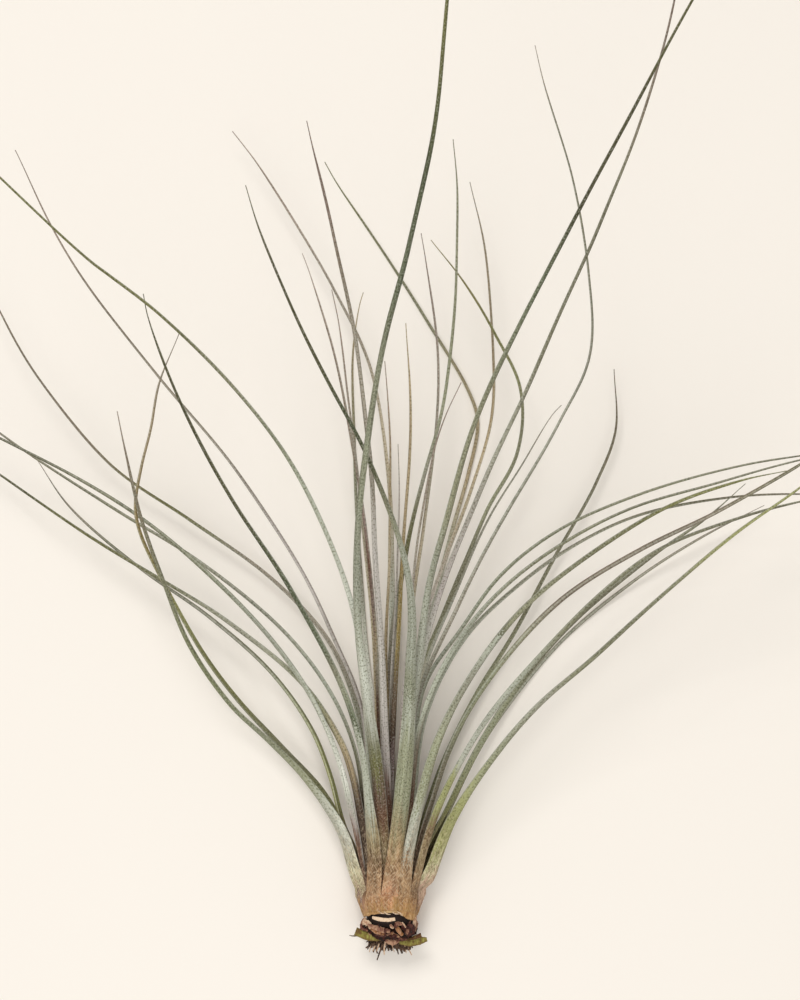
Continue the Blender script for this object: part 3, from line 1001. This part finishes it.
# The tones of each dry material, dark to pale, and what else it has.
DRY_LOOKS = {
    "papery": (["papery_red", "papery", "tan_pale"], dict(edge_tone="tan_pale")),
    "papery_pale": (["papery", "tan_pale", "cream"], dict(edge_tone="cream")),
    "papery_warm": (["papery_red", "orange_brown", "tan_pale"], dict(edge_tone="tan_pale")),
    "papery_dark": (["char", "papery_red", "papery"], dict(edge_tone="oxblood")),
    "oxblood": (["char", "oxblood", "papery_red"], dict(edge_tone="char", rough=0.45)),
    "stub_olive": (["stub_brown", "stub_olive", "stub_bright"], dict(edge_tone="stub_brown", depth=0.00012)),
    "stub_dark": (["oxblood", "stub_brown", "stub_olive"], dict(edge_tone="oxblood")),
    "twig_grey": (["taupe", "tip_brown"], {}),
    "root_dark": (["char", "root", "root_mid"], {}),
    "root_mid": (["root", "root_mid", "root_mid"], {}),
    "root_pale": (["tan_pale", "cream"], {}),
}
DRY_MATERIALS = {name: fibrous_material(name, tones, **rest) for name, (tones, rest) in DRY_LOOKS.items()}

SHREDS = 9  # small torn flakes strewn over the end of the rootstock, on each side
SHRED_TONES = ("papery_dark", "oxblood", "papery", "oxblood")
SHRED_WIDTHS = (1, 1.2, 0.4)
SHRED_WIDTH = (0.5, 1.5)
SHRED_TURN = (4, 95)  # degrees from the top towards its side
SHRED_RADIUS = (8.6, 10.2)
SHRED_BACK = (-22, -16.6)
SHRED_REACH = (0.8, 2.4)
SHRED_DRIFT = 1.2
SHRED_LEAN = (0.5, 0.6)
SHRED_CUP = 0.3


def shreds(side, rng):
    """Small flakes on one side of the core: side is -1 on the left and 1 on the right."""
    flakes = []
    for number in range(SHREDS):
        angle = math.radians(90 - side * rng.uniform(*SHRED_TURN))
        radius = rng.uniform(*SHRED_RADIUS)
        x, z = radius * math.cos(angle), NECK_HEIGHT + radius * math.sin(angle)
        back = rng.uniform(*SHRED_BACK)
        drift = rng.uniform(-SHRED_DRIFT, SHRED_DRIFT)
        reach = rng.uniform(*SHRED_REACH)
        middle = (x + 0.5 * drift, back - 0.6 * reach, z + 0.3)
        end = (x + drift, back - reach, z - 0.3)
        lean = [rng.uniform(-most, most) for most in SHRED_LEAN]
        up = (math.cos(angle) + lean[0], lean[1], math.sin(angle))
        width = rng.uniform(*SHRED_WIDTH)
        widths = [share * width for share in SHRED_WIDTHS]
        cup = rng.uniform(-SHRED_CUP, SHRED_CUP)
        flakes.append(([(x, back, z), middle, end], widths, [up, up], cup, SHRED_TONES[number % 4]))
    return flakes


def ribbon_pieces(name, ribbons, rng, rag):
    """One piece for the ribbons of each material."""
    skins = {}
    for path, widths, up, cup, material in ribbons:
        ribbon(skins.setdefault(material, Skin()), path, widths, up, cup, rng, rag=rag)
    made = []
    for material, skin in skins.items():
        skin.keep_on_floor()
        made.append(skin.build(f"fine_{name}_{material}", DRY_MATERIALS[material], False))
    return made


TUFT = (0, -20.6, 7.4)
TUFT_SIZE = (8, 4.4, 5)
TUFT_CORE = 0.92  # the roots start on a lump of this share of the tuft
HEART = (0, -17.6, 12)  # the dark woody end that the scraps lie on
HEART_SIZE = (9.9, 4.2, 6.4)
ROOTS = {"root_dark": 190, "root_mid": 26}  # how many short ones of each tone
ROOT_REACH = (1.8, 5)
ROOT_THICKNESS = (0.25, 0.7)
ROOT_BEND = 0.9
LONG_ROOT_BEND = 0.25
# The longest roots as seen: where each starts and ends, and how thick it is.
LONG_ROOTS = {
    "root_dark": [((-2.8, -25, 11), (-5.2, -32, 9.6), 0.4)],
    "root_pale": [
        ((-1.8, -24.4, 12.4), (-2.3, -29.8, 11), 0.44), ((-4.4, -25.4, 12), (-5.6, -28.6, 11), 0.36),
        ((-5.9, -26.2, 11.4), (-6.9, -28.4, 10.6), 0.34), ((-7.4, -25.2, 11), (-8.2, -28.8, 9.6), 0.26),
        ((0.8, -25.8, 12), (1.7, -28.8, 11), 0.24), ((7.2, -26.4, 11), (8.7, -30, 9.4), 0.3),
        ((5.6, -25.4, 11.6), (6.5, -29.2, 10.4), 0.24),
    ],
}


def short_root(rng):
    """The path and thickness of a root that sticks out of the tuft."""
    side = rng.uniform(-1, 1)
    seat = np.array([side, -rng.uniform(0, 0.8), rng.uniform(-0.9, 0.95)])
    start = np.array(TUFT) + seat * TUFT_SIZE * TUFT_CORE
    reach = rng.uniform(*ROOT_REACH) * (1 - 0.25 * abs(side))
    aim = unit(np.array([side * rng.uniform(0.1, 1) + rng.uniform(-0.5, 0.5), -1, rng.uniform(-0.5, 0.45)]))
    bend = rng.uniform(-ROOT_BEND, ROOT_BEND, 3)
    thick = rng.uniform(*ROOT_THICKNESS)
    return [start, start + 0.5 * reach * aim + 0.5 * bend, start + reach * aim - 0.4 * bend], thick


def root_pieces(rng):
    """The root tuft: a dark lump with short roots all over it, and a few long ones."""
    skins = {tone: Skin() for tone in ("root_dark", "root_mid", "root_pale")}
    lump(skins["root_dark"], TUFT, TUFT_CORE * np.array(TUFT_SIZE), rng)
    for tone, count in ROOTS.items():
        for _ in range(count):
            twig(skins[tone], *short_root(rng), sides=5)
    for tone, roots in LONG_ROOTS.items():
        for start, end, thick in roots:
            start, end = under_eye(*start), under_eye(*end)
            middle = 0.5 * (start + end) + rng.uniform(-LONG_ROOT_BEND, LONG_ROOT_BEND, 3)
            twig(skins[tone], [start, middle, end], thick, sides=6)
    for skin in skins.values():
        skin.keep_on_floor()
    return [skin.build(f"fine_{tone}", DRY_MATERIALS[tone]) for tone, skin in skins.items()]


DRY_SEED = 12
dry_rng = np.random.default_rng(DRY_SEED)
heart = Skin()
lump(heart, HEART, np.array(HEART_SIZE), dry_rng)
heart_skin = fibrous_material("heart", ["char", "char", "oxblood"])
pieces.append((heart.build("fine_heart", heart_skin), "stem", "stem"))
# The ribbons of each node, the slot, and how ragged they are.
RIBBON_NODES = {
    "scrap_left": (SCRAPS_LEFT + shreds(-1, dry_rng), "scrap", 0.11),
    "scrap_right": (SCRAPS_RIGHT + shreds(1, dry_rng), "scrap", 0.11),
    "stub_left": (STUBS_LEFT, "stub", 0.05),
    "stub_right": (STUBS_RIGHT, "stub", 0.05),
}
for node, (ribbons, slot, rag) in RIBBON_NODES.items():
    for piece in ribbon_pieces(node, ribbons, dry_rng, rag):
        pieces.append((piece, node, slot))
for piece in root_pieces(dry_rng):
    pieces.append((piece, "roots", "roots"))
for piece, node, slot in pieces:
    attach(piece, "root")
    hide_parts(node)

# The surface, the light and the camera
FLOOR_COLOR = (246, 239, 229)
FLOOR_SIDE = 8.0
FLOOR_ROUGHNESS = 0.8
LIGHTS = {"window": ((-0.32, 1.1, 1.6), 0.7, 14.6), "ceiling": ((-0.05, -0.55, 1.15), 1.3, 9.1)}
ROOM_TINT = (1, 0.985, 0.965, 1)
ROOM_STRENGTH = 0.38
SENSOR = 36

bpy.ops.mesh.primitive_plane_add(size=FLOOR_SIDE)
floor = bpy.context.object
floor.name = "surface"
floor_tone = [linear(value) for value in FLOOR_COLOR] + [1]
floor.data.materials.append(Nodes("surface").finish(floor_tone, FLOOR_ROUGHNESS))


def area_light(name, place, side, power):
    """A square light that faces the middle of the surface."""
    data = bpy.data.lights.new(name, "AREA")
    data.shape = "SQUARE"
    data.size = side
    data.energy = power
    lamp = bpy.data.objects.new(name, data)
    lamp.location = place
    lamp.rotation_euler = (-Vector(place)).to_track_quat("-Z", "Y").to_euler()
    lamp.visible_camera = False
    bpy.context.scene.collection.objects.link(lamp)


for name, (place, side, power) in LIGHTS.items():
    area_light(name, place, side, power)

world = bpy.data.worlds.new("room")
bpy.context.scene.world = world
world.use_nodes = True
background = world.node_tree.nodes["Background"]
background.inputs["Color"].default_value = ROOM_TINT
background.inputs["Strength"].default_value = ROOM_STRENGTH

camera_data = bpy.data.cameras.new("camera")
camera_data.sensor_width = SENSOR
camera_data.lens = SENSOR * EYE[2] / PICTURE_LENGTH
camera = bpy.data.objects.new("camera", camera_data)
camera.location = (EYE[0] * MM + SHIFT[0], EYE[1] * MM + SHIFT[1], EYE[2] * MM)
bpy.context.scene.collection.objects.link(camera)
bpy.context.scene.camera = camera
bpy.context.scene.view_settings.view_transform = "Standard"

bpy.context.view_layer.update()
